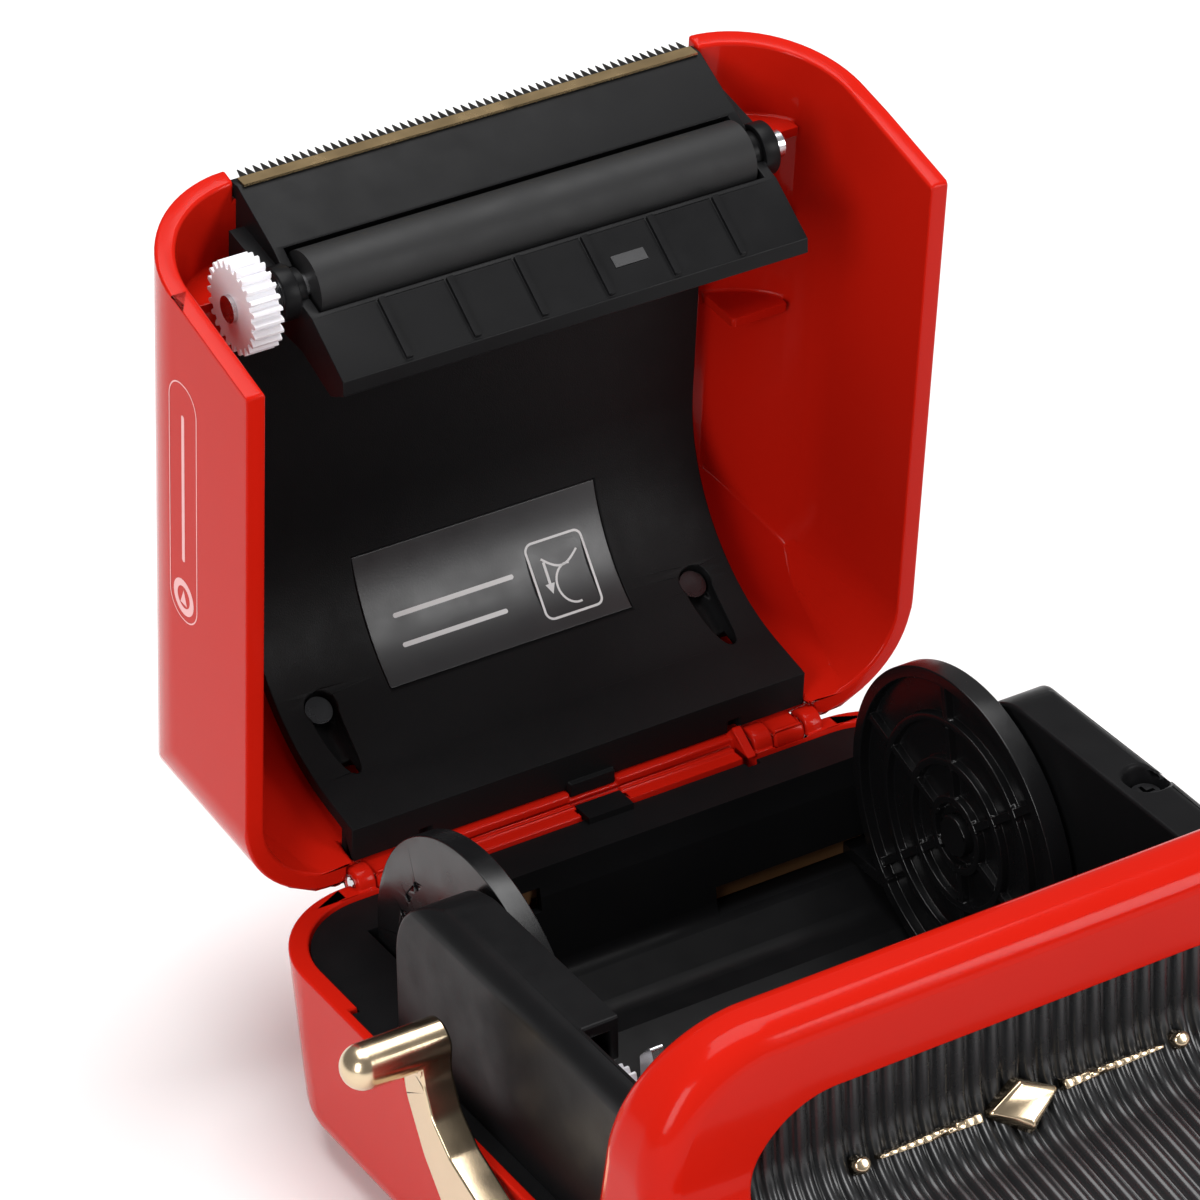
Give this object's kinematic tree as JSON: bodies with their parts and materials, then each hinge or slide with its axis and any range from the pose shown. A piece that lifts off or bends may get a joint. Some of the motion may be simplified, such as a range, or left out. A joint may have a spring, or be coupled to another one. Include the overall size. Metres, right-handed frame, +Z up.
{
  "type": "label maker",
  "caption": "Desktop thermal label maker with a hinged lid holding the platen and tear blade, centring roll guides, a ribbed front and a side release lever.",
  "frame": {"origin": "centre of the flat underside, on the middle rubber foot", "axes": "+X to the label maker's right as seen from its front, +Y to the rear where the lid hinges, +Z up; the ribbed front faces -Y"},
  "size_m": [0.0972, 0.1328, 0.1006],
  "materials": {
    "red_shell": "high gloss red moulding",
    "black_plastic": "finely textured black moulding",
    "grille_plastic": "satin black, ribbed",
    "gold_trim": "champagne gold plating",
    "blade_gold": "stamped, gold tone",
    "white_nylon": "natural white nylon",
    "platen_rubber": "ground rubber",
    "steel": "turned",
    "rack_acetal": "amber acetal",
    "circuit_board": "green solder mask",
    "battery_wrap": "foil pouch",
    "head_ceramic": "glazed strip",
    "head_aluminium": "plain",
    "foot_rubber": "moulded",
    "light_lens": "clear light pipe",
    "info_grey": "dark grey printed plate"
  },
  "bodies": {
    "tub": {"body_shell": "red_shell", "base_cover": "red_shell", "rubber_feet": "foot_rubber", "base_screws": "steel", "front_bezel": "red_shell", "front_grille": "grille_plastic", "badge_ornament": "gold_trim", "inner_frame": "black_plastic", "gear_cover": "black_plastic", "side_housing": "black_plastic", "housing_screws": "steel", "pinion_axle": "steel", "gear_axles": "steel", "stepper_motor": "steel", "main_pcb": "circuit_board", "pcb_tray": "black_plastic", "battery": "battery_wrap", "usb_port": "steel", "status_light": "light_lens", "print_head": "head_ceramic", "head_bracket": "head_aluminium", "head_springs": "steel", "hinge_pins": "steel"},
    "lid": {"lid_shell": "red_shell", "cutter_carrier": "black_plastic", "tear_blade": "blade_gold", "sensor_window": "info_grey", "platen_bushings": "black_plastic", "cover_screws": "steel", "info_plate": "info_grey", "inner_cover": "black_plastic"},
    "platen": {"platen_shaft": "steel", "platen_rubber": "platen_rubber", "platen_gear": "white_nylon"},
    "drive": {"drive_gear": "white_nylon"},
    "idler": {"idler_gear": "white_nylon"},
    "motor_spindle": {"motor_pinion": "white_nylon"},
    "right_guide": {"guide_right": "black_plastic", "rack_right": "rack_acetal"},
    "left_guide": {"guide_left": "black_plastic", "rack_left": "rack_acetal"},
    "centring": {"centring_pinion": "white_nylon"},
    "lever": {"release_lever": "gold_trim", "latch_shaft": "steel", "latch_fingers": "steel"},
    "button": {"power_button": "gold_trim"}
  },
  "joints": [
    {"name": "lid_hinge", "type": "hinge", "parent": "tub", "child": "lid", "pos_m": [0, 0.052, 0.025], "axis": [1, 0, 0], "range_deg": [0, 85]},
    {"name": "platen_spin", "type": "hinge", "parent": "lid", "child": "platen", "pos_m": [0, 0.06318, 0.09223], "axis": [1, 0, 0], "continuous": true},
    {"name": "drive_spin", "type": "hinge", "parent": "tub", "child": "drive", "pos_m": [0, -0.0088, 0.03393], "axis": [1, 0, 0], "continuous": true},
    {"name": "idler_spin", "type": "hinge", "parent": "tub", "child": "idler", "pos_m": [0, -0.01756, 0.02573], "axis": [1, 0, 0], "continuous": true},
    {"name": "motor_spin", "type": "hinge", "parent": "tub", "child": "motor_spindle", "pos_m": [0, -0.027, 0.024], "axis": [1, 0, 0], "continuous": true},
    {"name": "right_guide_slide", "type": "slide", "parent": "tub", "child": "right_guide", "axis": [-1, 0, 0], "range_m": [0, 0.0176]},
    {"name": "left_guide_slide", "type": "slide", "parent": "tub", "child": "left_guide", "axis": [1, 0, 0], "range_m": [0, 0.0176]},
    {"name": "centring_spin", "type": "hinge", "parent": "tub", "child": "centring", "pos_m": [0, 0.0461, 0.0168], "axis": [0, 1, 0], "range_deg": [0, 337]},
    {"name": "lever_press", "type": "hinge", "parent": "tub", "child": "lever", "pos_m": [0, -0.012, 0.016], "axis": [1, 0, 0], "range_deg": [-10, 0], "stiffness_Nm_per_rad": 0.12, "springref_deg": 11.46},
    {"name": "button_press", "type": "slide", "parent": "tub", "child": "button", "axis": [-1, 0, 0], "range_m": [0, 0.0008], "stiffness_N_per_m": 800, "springref_m": -0.0005}
  ],
  "couplings": [
    {"joint": "idler_spin", "follows": "drive_spin", "ratio": -0.66667},
    {"joint": "motor_spin", "follows": "drive_spin", "ratio": 2},
    {"joint": "left_guide_slide", "follows": "right_guide_slide", "ratio": 1},
    {"joint": "centring_spin", "follows": "right_guide_slide", "rad_per_m": 333.33}
  ]
}
